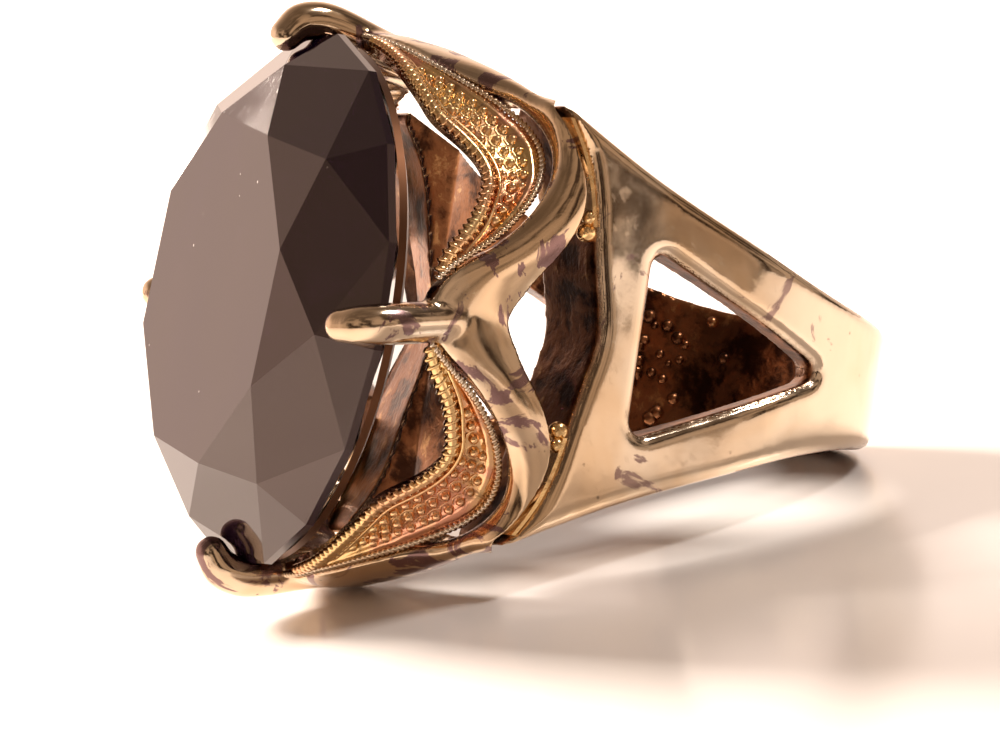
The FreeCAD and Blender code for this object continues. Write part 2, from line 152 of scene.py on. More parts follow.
class Finish:
    """A material written as a recipe: surface() sets the shader, node() adds any other node."""

    def __init__(self, name):
        self.material = bpy.data.materials.new(name)
        self.material.use_nodes = True
        self.tree = self.material.node_tree
        self.shader = self.tree.nodes["Principled BSDF"]
        self.place = self.node("ShaderNodeTexCoord", output="Object")

    def node(self, kind, settings=None, inputs=None, output=0):
        made = self.tree.nodes.new(kind)
        for key, value in (settings or {}).items():
            if key == "stops":
                ramp = made.color_ramp
                ramp.elements[0].position, ramp.elements[0].color = value[0]
                ramp.elements[1].position, ramp.elements[1].color = value[-1]
                for position, colour in value[1:-1]:
                    ramp.elements.new(position).color = colour
            else:
                setattr(made, key, value)
        for key, value in (inputs or {}).items():
            self.join(value, made.inputs[key])
        return Amount(self, made.outputs[output])

    def join(self, value, socket):
        if isinstance(value, Amount):
            self.tree.links.new(value.socket, socket)
        else:
            socket.default_value = value

    def surface(self, **inputs):
        for key, value in inputs.items():
            self.join(value, self.shader.inputs[key.replace("_", " ")])

    def noise(self, per_metre, detail=3.0, roughness=0.5, distortion=0.0, stretch=None):
        """Cloudy variation, per_metre being how many blotches fit in a metre."""
        place = self.place
        if stretch:
            place = self.node("ShaderNodeMapping", None, {"Vector": place, "Rotation": stretch[0],
                                                          "Scale": stretch[1]})
        return self.node("ShaderNodeTexNoise", None,
                         {"Vector": place, "Scale": per_metre, "Detail": detail, "Roughness": roughness,
                          "Distortion": distortion})

    def between(self, amount, low, high, start=0.0, end=1.0):
        """Carries the range low to high onto start to end, smoothly and without going past it."""
        return self.node("ShaderNodeMapRange", {"interpolation_type": "SMOOTHSTEP"},
                         {"Value": amount, "From Min": low, "From Max": high, "To Min": start,
                          "To Max": end})

    def blend(self, share, first, second):
        """first where share is 0 and second where it is 1."""
        mixed = self.node("ShaderNodeMix", {"data_type": "RGBA"}, {"Factor": share}, output=2)
        made = mixed.socket.node
        self.join(first, made.inputs[6])
        self.join(second, made.inputs[7])
        return mixed

    def bump(self, height, strength, depth, under=None):
        inputs = {"Height": height, "Strength": strength, "Distance": depth}
        if under:
            inputs["Normal"] = under
        return self.node("ShaderNodeBump", None, inputs)


def colour(r, g, b):
    return (r, g, b, 1.0)


STONE_BODY = colour(0.010, 0.003, 0.014)
STONE_FILM = colour(0.018, 0.009, 0.011)
STONE_DUST = colour(0.45, 0.38, 0.34)
STONE_IOR = 1.85

purple_glass = Finish("purple_glass")
scratched = purple_glass.noise(900, 2, stretch=((0.4, 0.9, 0.2), (1, 9, 1)))
specks = purple_glass.node("ShaderNodeTexVoronoi", None, {"Vector": purple_glass.place, "Scale": 900.0})
dust = purple_glass.between(specks, 0.035, 0.075, 1.0, 0.0)
rare = purple_glass.between(purple_glass.noise(500, 1), 0.58, 0.64)
dust = dust * rare
cloud = purple_glass.between(purple_glass.noise(160, 4), 0.35, 0.7)
glass_body = purple_glass.blend(cloud * 0.5, STONE_BODY, STONE_FILM)
purple_glass.surface(
    Base_Color=purple_glass.blend(dust, glass_body, STONE_DUST),
    Roughness=0.012 + cloud * 0.03 + purple_glass.between(scratched, 0.60, 0.72) * 0.06 + dust * 0.4,
    IOR=STONE_IOR, Transmission_Weight=0.35, Specular_Tint=colour(1.0, 0.78, 0.68))
stone = nodes["stone"]
stone.data.materials.clear()
stone.data.materials.append(purple_glass.material)


# ---------------------------------------------------------------- basket frame
# Four round claws and four smooth arches, cast and soldered into one frame, then polished and plated in a
# warm silver tone. Each claw runs down into the arches on both sides of it. The plating is worn and has
# purple-brown tarnish in patches, most on the flat of the arches.

QUADRANTS = {"northeast": (1, 1), "northwest": (-1, 1), "southwest": (-1, -1), "southeast": (1, -1)}
CLAW_TURNS = {"east": 0.0, "north": 90.0, "west": 180.0, "south": 270.0}
WELD = 0.002 * MM


def link(piece):
    bpy.context.scene.collection.objects.link(piece)
    return piece


def settle(piece, name, material_slot, *stood_for):
    """The finished piece rides on the ring and stands for its CAD nodes."""
    piece.name = name
    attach(piece, "root")
    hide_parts(*stood_for)
    return piece


def plain_mesh(piece, name):
    """The piece with its modifiers carried out, as a new object with none."""
    graph = bpy.context.evaluated_depsgraph_get()
    mesh = bpy.data.meshes.new_from_object(piece.evaluated_get(graph))
    mesh.name = name
    bpy.data.objects.remove(piece)
    return link(bpy.data.objects.new(name, mesh))


def merged_copy(names):
    """The named CAD nodes as one welded mesh, in the ring's own axes."""
    work = bmesh.new()
    for name in names:
        work.from_mesh(nodes[name].data)
    bmesh.ops.remove_doubles(work, verts=work.verts, dist=WELD)
    work.transform(STOOD_UP)
    mesh = bpy.data.meshes.new("welded")
    work.to_mesh(mesh)
    work.free()
    mesh.materials.clear()
    return link(bpy.data.objects.new("welded", mesh))


def cast_skin(names, grain, ease, swell=0.0):
    """One even skin over the nodes, its corners eased as casting and polishing leave them."""
    piece = merged_copy(names)
    if swell:
        thicker = piece.modifiers.new("thicker", "DISPLACE")
        thicker.strength = swell
        thicker.mid_level = 0.0
    skin = piece.modifiers.new("skin", "REMESH")
    skin.mode = "VOXEL"
    skin.voxel_size = grain
    skin.use_smooth_shade = True
    relax = piece.modifiers.new("relax", "SMOOTH")
    relax.factor = 0.5
    relax.iterations = ease
    if swell:
        thinner = piece.modifiers.new("thinner", "DISPLACE")
        thinner.strength = -swell
        thinner.mid_level = 0.0
    return plain_mesh(piece, "skin")


def islands_of(work):
    """The corners of each separate island of a mesh, island by island."""
    left = set(work.verts)
    islands = []
    while left:
        found = [left.pop()]
        for vert in found:
            for edge in vert.link_edges:
                other = edge.other_vert(vert)
                if other in left:
                    left.remove(other)
                    found.append(other)
        islands.append(found)
    return islands


def drop_pockets(piece):
    """Drops any closed pocket that the skin left inside the metal."""
    work = bmesh.new()
    work.from_mesh(piece.data)
    islands = islands_of(work)
    largest = max(len(island) for island in islands)
    stray = [vert for island in islands if len(island) < largest * POCKET_SHARE for vert in island]
    bmesh.ops.delete(work, geom=stray, context="VERTS")
    work.to_mesh(piece.data)
    work.free()


def ease_where(piece, weights, repeats):
    """Smooths the skin further where the weights say, as solder and polishing fill a corner."""
    group = piece.vertex_groups.new(name="corner")
    for index, weight in enumerate(weights):
        if weight > 0.01:
            group.add([index], float(weight), "REPLACE")
    fill = piece.modifiers.new("fill", "SMOOTH")
    fill.factor = 0.6
    fill.iterations = repeats
    fill.vertex_group = "corner"
    return plain_mesh(piece, "skin")


def corners_of(mesh):
    co = np.empty(len(mesh.vertices) * 3)
    mesh.vertices.foreach_get("co", co)
    return co.reshape(-1, 3)


def facing(mesh):
    normals = np.empty(len(mesh.vertices) * 3)
    mesh.vertex_normals.foreach_get("vector", normals)
    return normals.reshape(-1, 3)


BASKET_GRAIN = 0.13 * MM
BASKET_SWELL = 0.10 * MM
POCKET_SHARE = 0.05
CLAW_ROOT = Vector((11.1, 0.0, 12.2)) * MM
CLAW_ROOT_REACH = 2.4 * MM
CLAW_ROOT_EASE = 1.6
CLAW_ROOT_REPEATS = 14

arches_and_claws = ["arch_" + q for q in QUADRANTS] + ["claw_" + c for c in CLAW_TURNS]
basket = cast_skin(arches_and_claws, BASKET_GRAIN, 4, BASKET_SWELL)
drop_pockets(basket)
places = corners_of(basket.data)
root_share = np.zeros(len(places))
for turn in CLAW_TURNS.values():
    root = np.array(Matrix.Rotation(math.radians(turn), 3, "Z") @ CLAW_ROOT)
    distance = np.linalg.norm(places - root, axis=1)
    share = CLAW_ROOT_EASE * (1 - distance / CLAW_ROOT_REACH)
    root_share = np.maximum(root_share, np.clip(share, 0, 1))
basket = ease_where(basket, root_share, CLAW_ROOT_REPEATS)
basket.data.transform(LAID_DOWN)

PLATE_WARM = colour(0.62, 0.44, 0.28)
PLATE_COOL = colour(0.76, 0.67, 0.56)
TARNISH = colour(0.17, 0.085, 0.100)
SOOT = colour(0.045, 0.028, 0.02)


def worn_plate(name, warm, tarnish_level, dull=0.0):
    """Warm silver plating with worn patches, tarnish, fine scratches and pin marks."""
    plate = Finish(name)
    hue = plate.between(plate.noise(150, 3, 0.55, 0.6), 0.35, 0.65)
    patch = plate.noise(330, 5, 0.62, 1.2)
    edge_of_patch = plate.between(patch, tarnish_level, tarnish_level + 0.035)
    haze = plate.between(plate.noise(600, 4, 0.6), 0.45, 0.75)
    drawn = plate.noise(1500, 3, 0.6, stretch=((0.3, 0.5, 0.8), (1, 14, 1)))
    pits = plate.node("ShaderNodeTexVoronoi", None, {"Vector": plate.place, "Scale": 1500.0})
    pit = plate.between(pits, 0.05, 0.13, 1.0, 0.0) * plate.between(plate.noise(420, 2), 0.55, 0.62)
    clean = plate.blend(hue * (1 - warm), PLATE_WARM, PLATE_COOL)
    stained = plate.blend(edge_of_patch * 0.85, clean, TARNISH)
    rolling = plate.bump(plate.noise(260, 2, 0.4), 0.35, 0.00022)
    scratch = plate.between(drawn, 0.58, 0.75)
    plate.surface(
        Base_Color=plate.blend(pit * 0.7, stained, SOOT),
        Metallic=1.0,
        Roughness=0.10 + dull + haze * 0.10 + edge_of_patch * 0.12 + scratch * 0.10,
        Normal=plate.bump(drawn * 0.35 - pit, 0.12, 0.00005, rolling))
    return plate.material


basket.data.materials.clear()
basket.data.materials.append(worn_plate("basket_plate", 0.55, 0.535))
settle(basket, "basket_frame", "silver_tone", *arches_and_claws)


# ---------------------------------------------------------------- shank
# A wide band, narrow at the palm, with a rounded triangular window in each shoulder and a scooped top.
# It is cast, its outside is polished and plated, and its bore, its window walls and its scooped edge are
# left as copper-brown casting skin, its colour darkened with painted dark reflection. The attribute
# "raw" is 1 where that skin and its painted dark reflection show.

SHANK_GRAIN = 0.15 * MM
WINDOW_HALF = 4.6
WINDOW_TOP = 5.2
SCOOP_LOW = 5.6
SCOOP_REACH = 11.4
MASK_EDGE = 0.3

shank = cast_skin(["shank"], SHANK_GRAIN, 3)
drop_pockets(shank)
places = corners_of(shank.data) / MM
normals = facing(shank.data)
out = places * (1, 0, 1)
out = out / np.linalg.norm(out, axis=1)[:, None]
outwards = np.einsum("ij,ij->i", normals, out)
in_bore = np.clip((-outwards - 0.1) / 0.4, 0, 1)
near_window = (np.abs(places[:, 1]) < WINDOW_HALF) * (places[:, 2] < WINDOW_TOP)
near_scoop = (places[:, 2] > SCOOP_LOW) * (np.abs(places[:, 0]) < SCOOP_REACH)
in_window = np.clip((0.62 - np.abs(outwards)) / MASK_EDGE, 0, 1) * near_window
on_scoop = np.clip((normals[:, 2] - 0.55) / MASK_EDGE, 0, 1) * near_scoop
# The mask below marks the copper-brown skin, and with it the painted dark reflection in its colour.
raw = shank.data.attributes.new("raw", "FLOAT", "POINT")
raw.data.foreach_set("value", np.maximum.reduce([in_bore, in_window, on_scoop]).astype(np.float32))
shank.data.transform(LAID_DOWN)

# The two darker browns are painted dark reflection in the skin; the lightest is its own copper tone.
SKIN_WITH_DARK_REFLECTION = colour(0.30, 0.125, 0.055)
DARK_REFLECTION_BROWN = colour(0.055, 0.022, 0.012)
CASTING_LIGHT = colour(0.62, 0.34, 0.15)


def band_metal():
    band = Finish("band_metal")
    skin_and_reflection_share = band.node("ShaderNodeAttribute", {"attribute_name": "raw"}, output="Fac")
    hue = band.between(band.noise(140, 3, 0.55, 0.8), 0.35, 0.65)
    patch = band.between(band.noise(300, 5, 0.6, 1.0), 0.63, 0.67)
    haze = band.between(band.noise(520, 4, 0.6), 0.45, 0.75)
    drawn = band.noise(1300, 3, 0.6, stretch=((0.1, 0.9, 0.4), (1, 12, 1)))
    pits = band.node("ShaderNodeTexVoronoi", None, {"Vector": band.place, "Scale": 1400.0})
    pit = band.between(pits, 0.05, 0.14, 1.0, 0.0) * band.between(band.noise(380, 2), 0.55, 0.62)
    polished = band.blend(patch * 0.7, band.blend(hue * 0.5, PLATE_WARM, PLATE_COOL), TARNISH)
    mottle = band.noise(560, 5, 0.65, 0.2)
    # Painted dark reflection: the mottle pulls the skin's colour down to near-black brown.
    brown = band.blend(band.between(mottle, 0.38, 0.55), DARK_REFLECTION_BROWN, SKIN_WITH_DARK_REFLECTION)
    copper = band.blend(band.between(mottle, 0.58, 0.68), brown, CASTING_LIGHT)
    rolling = band.bump(band.noise(230, 2, 0.4), 0.40, 0.00025)
    lumps = band.bump(skin_and_reflection_share * mottle, 0.6, 0.0002, rolling)
    scratch = band.between(drawn, 0.58, 0.75)
    band.surface(
        Base_Color=band.blend(pit * 0.6, band.blend(skin_and_reflection_share, polished, copper), SOOT),
        Metallic=1.0,
        Roughness=0.09 + haze * 0.09 + patch * 0.10 + skin_and_reflection_share * 0.20 + scratch * 0.10,
        Normal=band.bump(drawn * 0.35 - pit, 0.12, 0.00005, lumps))
    return band.material


band_plate = band_metal()
shank.data.materials.clear()
shank.data.materials.append(band_plate)
settle(shank, "shank_band", "silver_tone", "shank")


# ---------------------------------------------------------------- casting nodules
# A cluster of small round nodules stands on the inner wall of the far shoulder, beside the palm, where
# bubbles clung to the wax. They are blobs of the band's own copper-brown metal, part sunk in it, and
# carry the same painted dark reflection in their colour.

NODULES = 40
NODULE_SIZES = (0.16, 0.36)
NODULE_CENTRE = (208.0, 0.6)
NODULE_SPREAD = (7.0, 1.2)
NODULE_SINK = 0.4
NODULE_SEED = 3
FINGER_RADIUS = 9.0

scatter = np.random.default_rng(NODULE_SEED)
work = bmesh.new()
for _ in range(NODULES):
    turn, along = scatter.normal(NODULE_CENTRE, NODULE_SPREAD)
    size = scatter.uniform(*NODULE_SIZES)
    wall = FINGER_RADIUS - size * NODULE_SINK
    middle = Vector((wall * math.cos(math.radians(turn)), along, wall * math.sin(math.radians(turn))))
    bmesh.ops.create_icosphere(work, subdivisions=2, radius=size * MM,
                               matrix=Matrix.Translation(middle * MM))
for face in work.faces:
    face.smooth = True
skin_and_reflection_layer = work.verts.layers.float.new("raw")
for vert in work.verts:
    vert[skin_and_reflection_layer] = 1.0
work.transform(LAID_DOWN)
nodule_mesh = bpy.data.meshes.new("casting_nodules")
work.to_mesh(nodule_mesh)
work.free()
nodule_mesh.materials.append(band_plate)
nodules = link(bpy.data.objects.new("casting_nodules", nodule_mesh))
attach(nodules, "root")


# ---------------------------------------------------------------- rope borders
# A fine milgrain rope runs just inside each arch, from claw to claw: a row of small slanted beads rolled
# into the edge of the crescent panel, in the same warm metal as the basket.

def line_of(name, slices=44):
    """The middle line of a CAD wire that runs round the basket, as points in the ring's own axes."""
    co = corners_of(nodes[name].data)
    co = np.array([STOOD_UP @ Vector(p) for p in co])
    angle = np.arctan2(np.abs(co[:, 1]), np.abs(co[:, 0]))
    radius = np.hypot(co[:, 0], co[:, 1])
    edges = np.linspace(angle.min(), angle.max(), slices + 1)
    slot = np.clip(np.digitize(angle, edges) - 1, 0, slices - 1)
    rows = [(angle[slot == i].mean(), radius[slot == i].mean(), co[slot == i, 2].mean())
            for i in range(slices) if (slot == i).sum() > 5]
    rows = np.array(rows)
    for _ in range(2):
        rows[1:-1] = (rows[:-2] + 2 * rows[1:-1] + rows[2:]) / 4
    sign_s, sign_f = QUADRANTS[name.split("_")[1]]
    turn, reach, height = rows.T
    return np.column_stack([sign_s * reach * np.cos(turn), sign_f * reach * np.sin(turn), height])


def evenly(line, count):
    """The line again, as count points an equal way apart."""
    steps = np.linalg.norm(np.diff(line, axis=0), axis=1)
    along = np.concatenate([[0], np.cumsum(steps)])
    wanted = np.linspace(0, along[-1], count)
    return np.column_stack([np.interp(wanted, along, line[:, i]) for i in range(3)])


def unit(rows):
    return rows / np.linalg.norm(rows, axis=1)[:, None]


def curve_piece(lines, name):
    curve = bpy.data.curves.new(name, "CURVE")
    curve.dimensions = "3D"
    for line in lines:
        spline = curve.splines.new("POLY")
        spline.points.add(len(line) - 1)
        spline.points.foreach_set("co", np.column_stack([line, np.ones(len(line))]).ravel())
    return link(bpy.data.objects.new(name, curve))


class Growth:
    """A Geometry Nodes tree with named inputs, built node by node like a Finish."""

    def __init__(self, name, sizes):
        self.tree = bpy.data.node_groups.new(name, "GeometryNodeTree")
        face = self.tree.interface
        face.new_socket("Geometry", in_out="INPUT", socket_type="NodeSocketGeometry")
        self.ids = {}
        for label, value in sizes.items():
            kind = "NodeSocketInt" if isinstance(value, int) else "NodeSocketFloat"
            made = face.new_socket(label, in_out="INPUT", socket_type=kind)
            made.default_value = value
            self.ids[label] = made.identifier
        face.new_socket("Geometry", in_out="OUTPUT", socket_type="NodeSocketGeometry")
        self.entry = self.tree.nodes.new("NodeGroupInput")

    def given(self, label):
        return self.entry.outputs[label]

    def node(self, kind, settings=None, inputs=None, output=0):
        made = self.tree.nodes.new(kind)
        for key, value in (settings or {}).items():
            setattr(made, key, value)
        for key, value in (inputs or {}).items():
            if isinstance(value, bpy.types.NodeSocket):
                self.tree.links.new(value, made.inputs[key])
            else:
                made.inputs[key].default_value = value
        return made.outputs[output]

    def upright(self):
        """Turns each instance so that its Z points out of the basket and its X runs along the line."""
        place = self.node("GeometryNodeInputPosition")
        out = self.node("ShaderNodeVectorMath", {"operation": "MULTIPLY"}, {0: place, 1: (1, 1, 0)})
        turned = self.node("FunctionNodeAlignRotationToVector", {"axis": "Z"}, {"Vector": out})
        along = self.node("GeometryNodeInputTangent")
        return self.node("FunctionNodeAlignRotationToVector", {"axis": "X", "pivot_axis": "Z"},
                         {"Rotation": turned, "Vector": along})

    def slanted(self, angle):
        """The upright turn, with each instance then swung round by the angle."""
        swing = self.node("ShaderNodeCombineXYZ", None, {"Z": angle})
        turn = self.node("FunctionNodeEulerToRotation", None, {"Euler": swing})
        return self.node("FunctionNodeRotateRotation", {"rotation_space": "LOCAL"},
                         {"Rotation": self.upright(), "Rotate By": turn})

    def finish(self, parts, material):
        whole = self.node("GeometryNodeJoinGeometry")
        for part in parts:
            self.tree.links.new(part, whole.node.inputs[0])
        real = self.node("GeometryNodeRealizeInstances", None, {0: whole})
        smooth = self.node("GeometryNodeSetShadeSmooth", None, {"Geometry": real})
        dressed = self.node("GeometryNodeSetMaterial", None, {"Geometry": smooth, "Material": material})
        self.tree.links.new(dressed, self.tree.nodes.new("NodeGroupOutput").inputs[0])

    def grow(self, piece, sizes, name):
        """Runs the tree on the piece and lays the plain mesh that comes out down with the ring."""
        modifier = piece.modifiers.new("growth", "NODES")
        modifier.node_group = self.tree
        for label, value in sizes.items():
            modifier[self.ids[label]] = value
        grown = plain_mesh(piece, name)
        grown.data.transform(LAID_DOWN)
        return grown


def gold_metal(name, rosy, shade_share):
    """Gold to rose-copper metal, with dark brown patches of painted shade laid at random by noise."""
    gold = Finish(name)
    hue = gold.between(gold.noise(220, 3, 0.6, 0.8), 0.38, 0.62)
    # Painted shade: these noise patches take a dark brown that stands in for the shade in the hollows.
    shade_patch = gold.between(gold.noise(700, 4, 0.65, 0.8), 0.50, 0.66)
    grain = gold.noise(2600, 3, 0.6)
    metal = gold.blend(hue * rosy, colour(0.86, 0.58, 0.27), colour(0.80, 0.36, 0.24))
    gold.surface(
        Base_Color=gold.blend(shade_patch * shade_share, metal, colour(0.11, 0.045, 0.02)),
        Metallic=1.0,
        Roughness=0.16 + shade_patch * 0.20 + hue * 0.05,
        Normal=gold.bump(grain, 0.25, 0.00006))
    return gold.material


ROPE_PITCH = 0.24 * MM
ROPE_BEAD = (0.20 * MM, 0.115 * MM, 0.17 * MM)
ROPE_SLANT = math.radians(32)
ROPE_CORE = 0.11 * MM

rope_growth = Growth("milgrain_rope", {"Pitch": ROPE_PITCH, "Core": ROPE_CORE, "Slant": ROPE_SLANT})
row = rope_growth.node("GeometryNodeResampleCurve", {"mode": "LENGTH"},
                       {"Curve": rope_growth.given("Geometry"), "Length": rope_growth.given("Pitch")})
bead = rope_growth.node("GeometryNodeMeshUVSphere", None, {"Segments": 8, "Rings": 5, "Radius": 1.0})
beads = rope_growth.node("GeometryNodeInstanceOnPoints", None,
                         {"Points": row, "Instance": bead,
                          "Rotation": rope_growth.slanted(rope_growth.given("Slant")),
                          "Scale": (ROPE_BEAD[1], ROPE_BEAD[0], ROPE_BEAD[2])})
ring_of_core = rope_growth.node("GeometryNodeCurvePrimitiveCircle", None,
                                {"Resolution": 8, "Radius": rope_growth.given("Core")})
core = rope_growth.node("GeometryNodeCurveToMesh", None,
                        {"Curve": rope_growth.given("Geometry"), "Profile Curve": ring_of_core,
                         "Fill Caps": True})
rope_growth.finish([beads, core], worn_plate("rope_plate", 0.2, 0.66, 0.10))

for quadrant in QUADRANTS:
    line = evenly(line_of("rope_" + quadrant), 90)
    rope = rope_growth.grow(curve_piece([line], "rope"), {"Pitch": ROPE_PITCH}, "rope")
    settle(rope, "rope_border_" + quadrant, "gold_tone", "rope_" + quadrant)


# ---------------------------------------------------------------- window ridges
# The open window beside the stone is edged by a raised half-round band, notched all along like a gadroon,
# with one fine smooth wire on the side of the panel. It is cast with the panel and toned gold.

NOTCH_PITCH = 0.36 * MM
NOTCH_NUB = (0.165 * MM, 0.40 * MM, 0.26 * MM)
NOTCH_SLANT = math.radians(14)
NOTCH_WOBBLE = 0.12
NOTCH_SEED = 7
RIDGE_CORE = 0.24 * MM
FINE_WIRE = 0.095 * MM
WIRE_OUT = 0.47 * MM

ridge_growth = Growth("notched_ridge", {"Pitch": NOTCH_PITCH, "Core": RIDGE_CORE, "Slant": NOTCH_SLANT,
                                        "Seed": NOTCH_SEED})
row = ridge_growth.node("GeometryNodeResampleCurve", {"mode": "LENGTH"},
                        {"Curve": ridge_growth.given("Geometry"), "Length": ridge_growth.given("Pitch")})
nub = ridge_growth.node("GeometryNodeMeshUVSphere", None, {"Segments": 8, "Rings": 6, "Radius": 1.0})
wobble = ridge_growth.node("FunctionNodeRandomValue", {"data_type": "FLOAT"},
                           {2: -NOTCH_WOBBLE, 3: NOTCH_WOBBLE, "Seed": ridge_growth.given("Seed")},
                           output=1)
leaning = ridge_growth.node("ShaderNodeMath", {"operation": "ADD"},
                            {0: ridge_growth.given("Slant"), 1: wobble})
nubs = ridge_growth.node("GeometryNodeInstanceOnPoints", None,
                         {"Points": row, "Instance": nub, "Rotation": ridge_growth.slanted(leaning),
                          "Scale": NOTCH_NUB})
ring_of_core = ridge_growth.node("GeometryNodeCurvePrimitiveCircle", None,
                                 {"Resolution": 10, "Radius": ridge_growth.given("Core")})
core = ridge_growth.node("GeometryNodeCurveToMesh", None,
                         {"Curve": ridge_growth.given("Geometry"), "Profile Curve": ring_of_core,
                          "Fill Caps": True})
ridge_growth.finish([nubs, core], gold_metal("ridge_gold", 0.5, 0.35))

wire_growth = Growth("fine_wire", {"Radius": FINE_WIRE})
ring_of_wire = wire_growth.node("GeometryNodeCurvePrimitiveCircle", None,
                                {"Resolution": 8, "Radius": wire_growth.given("Radius")})
wire = wire_growth.node("GeometryNodeCurveToMesh", None,
                        {"Curve": wire_growth.given("Geometry"), "Profile Curve": ring_of_wire,
                         "Fill Caps": True})
wire_growth.finish([wire], gold_metal("wire_gold", 0.35, 0.15))


def across(line, other):
    """Unit steps from the line towards the other one, and unit steps out of the basket."""
    out = unit(line * (1, 1, 0))
    along = unit(np.gradient(line, axis=0))
    side = unit(np.cross(along, out))
    towards_other = np.einsum("ij,ij->i", side, evenly(other, len(line)) - line)
    return side * np.sign(towards_other.mean()), out


for quadrant in QUADRANTS:
    ridge_line = evenly(line_of("ridge_" + quadrant), 90)
    side, out = across(ridge_line, line_of("rope_" + quadrant))
    ridge = ridge_growth.grow(curve_piece([ridge_line], "ridge"), {"Pitch": NOTCH_PITCH}, "ridge")
    settle(ridge, "window_ridge_" + quadrant, "gold_tone", "ridge_" + quadrant)
    wire_line = (ridge_line + side * WIRE_OUT - out * 0.02 * MM)[2:-2]
    wire = wire_growth.grow(curve_piece([wire_line], "wire"), {"Radius": FINE_WIRE}, "wire")
    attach(wire, "root")
    wire.name = "ridge_wire_" + quadrant


# ---------------------------------------------------------------- crescent panels
# Between rope and ridge lies a thin crescent plate of copper-toned metal: a smooth flange beside the
# rope, a groove, then a hollowed field that carries the beads. It lies a little below its borders.

PANEL_STATIONS = 96
PANEL_ENDS = (0.03, 0.97)
PANEL_SECTION = [(0.00, -0.16), (0.05, -0.04), (0.13, 0.02), (0.20, 0.00), (0.235, -0.10), (0.27, -0.24),
                 (0.36, -0.27), (0.50, -0.29), (0.64, -0.27), (0.76, -0.24), (0.84, -0.18), (0.92, -0.06),
                 (1.00, -0.08)]
PANEL_BACK = 0.62 * MM
PANEL_RIPPLE = 0.03 * MM
PANEL_SEED = 5


def between_lines(rope_line, ridge_line, share, lift):
    middle = rope_line + (ridge_line - rope_line) * share
    return middle + unit(middle * (1, 1, 0)) * lift


def panel_mesh(quadrant):
    rope_line = evenly(line_of("rope_" + quadrant), PANEL_STATIONS)
    ridge_line = evenly(line_of("ridge_" + quadrant), PANEL_STATIONS)
    first, last = (int(PANEL_STATIONS * end) for end in PANEL_ENDS)
    rope_line, ridge_line = rope_line[first:last], ridge_line[first:last]
    width = np.linalg.norm(ridge_line - rope_line, axis=1)[:, None] / MM
    depth = np.clip((width - 0.4) / 1.0, 0.25, 1.0)
    ripple = np.random.default_rng(PANEL_SEED)
    waves = ripple.normal(0, PANEL_RIPPLE, (len(PANEL_SECTION), len(rope_line), 1))
    waves = (waves + np.roll(waves, 1, axis=1) + np.roll(waves, 2, axis=1)) / 3
    rows = [between_lines(rope_line, ridge_line, share, lift * MM * depth + wave)
            for (share, lift), wave in zip(PANEL_SECTION, waves)]
    rows += [between_lines(rope_line, ridge_line, share, -PANEL_BACK) for share in (1.0, 0.0)]
    work = bmesh.new()
    grid = [[work.verts.new(p) for p in row] for row in rows]
    count = len(rows)
    for i in range(count):
        for j in range(len(rope_line) - 1):
            following = (i + 1) % count
            work.faces.new((grid[i][j], grid[following][j], grid[following][j + 1], grid[i][j + 1]))
    work.faces.new([row[0] for row in grid])
    work.faces.new([row[-1] for row in reversed(grid)])
    bmesh.ops.recalc_face_normals(work, faces=work.faces)
    mesh = bpy.data.meshes.new("panel")
    for face in work.faces:
        face.smooth = True
    work.to_mesh(mesh)
    work.free()
    return mesh


panel_metal = gold_metal("panel_copper", 0.9, 0.75)
for quadrant in QUADRANTS:
    panel = link(bpy.data.objects.new("panel", panel_mesh(quadrant)))
    panel.data.materials.append(panel_metal)
    panel.data.transform(LAID_DOWN)
    settle(panel, "crescent_panel_" + quadrant, "gold_tone", "panel_" + quadrant)


# ---------------------------------------------------------------- beads
# Small round grains stand in rows on each crescent panel. Each is a cast dome in a shallow crater of its
# own, and they differ a little in size because they are cast, not set.

BEAD_SECTION = [(0.0, 0.30), (0.13, 0.26), (0.22, 0.13), (0.235, -0.02), (0.28, -0.04), (0.33, 0.03),
                (0.39, 0.00), (0.42, -0.12)]
BEAD_SIDES = 8
BEAD_SEED = 11

bead_mesh = bpy.data.meshes.new("bead")
work = bmesh.new()
top = work.verts.new((0, 0, BEAD_SECTION[0][1] * MM))
rings = [[work.verts.new((r * MM * math.cos(2 * math.pi * k / BEAD_SIDES),
                          r * MM * math.sin(2 * math.pi * k / BEAD_SIDES), h * MM))
          for k in range(BEAD_SIDES)] for r, h in BEAD_SECTION[1:]]
for k in range(BEAD_SIDES):
    n = (k + 1) % BEAD_SIDES
    work.faces.new((top, rings[0][k], rings[0][n]))
    for inner, outer in zip(rings, rings[1:]):
        work.faces.new((inner[k], outer[k], outer[n], inner[n]))
work.faces.new(list(reversed(rings[-1])))
bmesh.ops.recalc_face_normals(work, faces=work.faces)
work.to_mesh(bead_mesh)
work.free()
bead_pattern = bpy.data.objects.new("bead_pattern", bead_mesh)

bead_growth = Growth("panel_beads", {"Smallest": 0.85, "Largest": 1.12, "Seed": BEAD_SEED})
pattern = bead_growth.node("GeometryNodeObjectInfo", None, {"Object": bead_pattern}, output="Geometry")
place = bead_growth.node("GeometryNodeInputPosition")
out = bead_growth.node("ShaderNodeVectorMath", {"operation": "MULTIPLY"}, {0: place, 1: (1, 1, 0)})
stand = bead_growth.node("FunctionNodeAlignRotationToVector", {"axis": "Z"}, {"Vector": out})
size = bead_growth.node("FunctionNodeRandomValue", {"data_type": "FLOAT"},
                        {2: bead_growth.given("Smallest"), 3: bead_growth.given("Largest"),
                         "Seed": bead_growth.given("Seed")}, output=1)
domes = bead_growth.node("GeometryNodeInstanceOnPoints", None,
                         {"Points": bead_growth.given("Geometry"), "Instance": pattern, "Rotation": stand,
                          "Scale": size})
bead_growth.finish([domes], gold_metal("bead_gold", 0.6, 0.25))


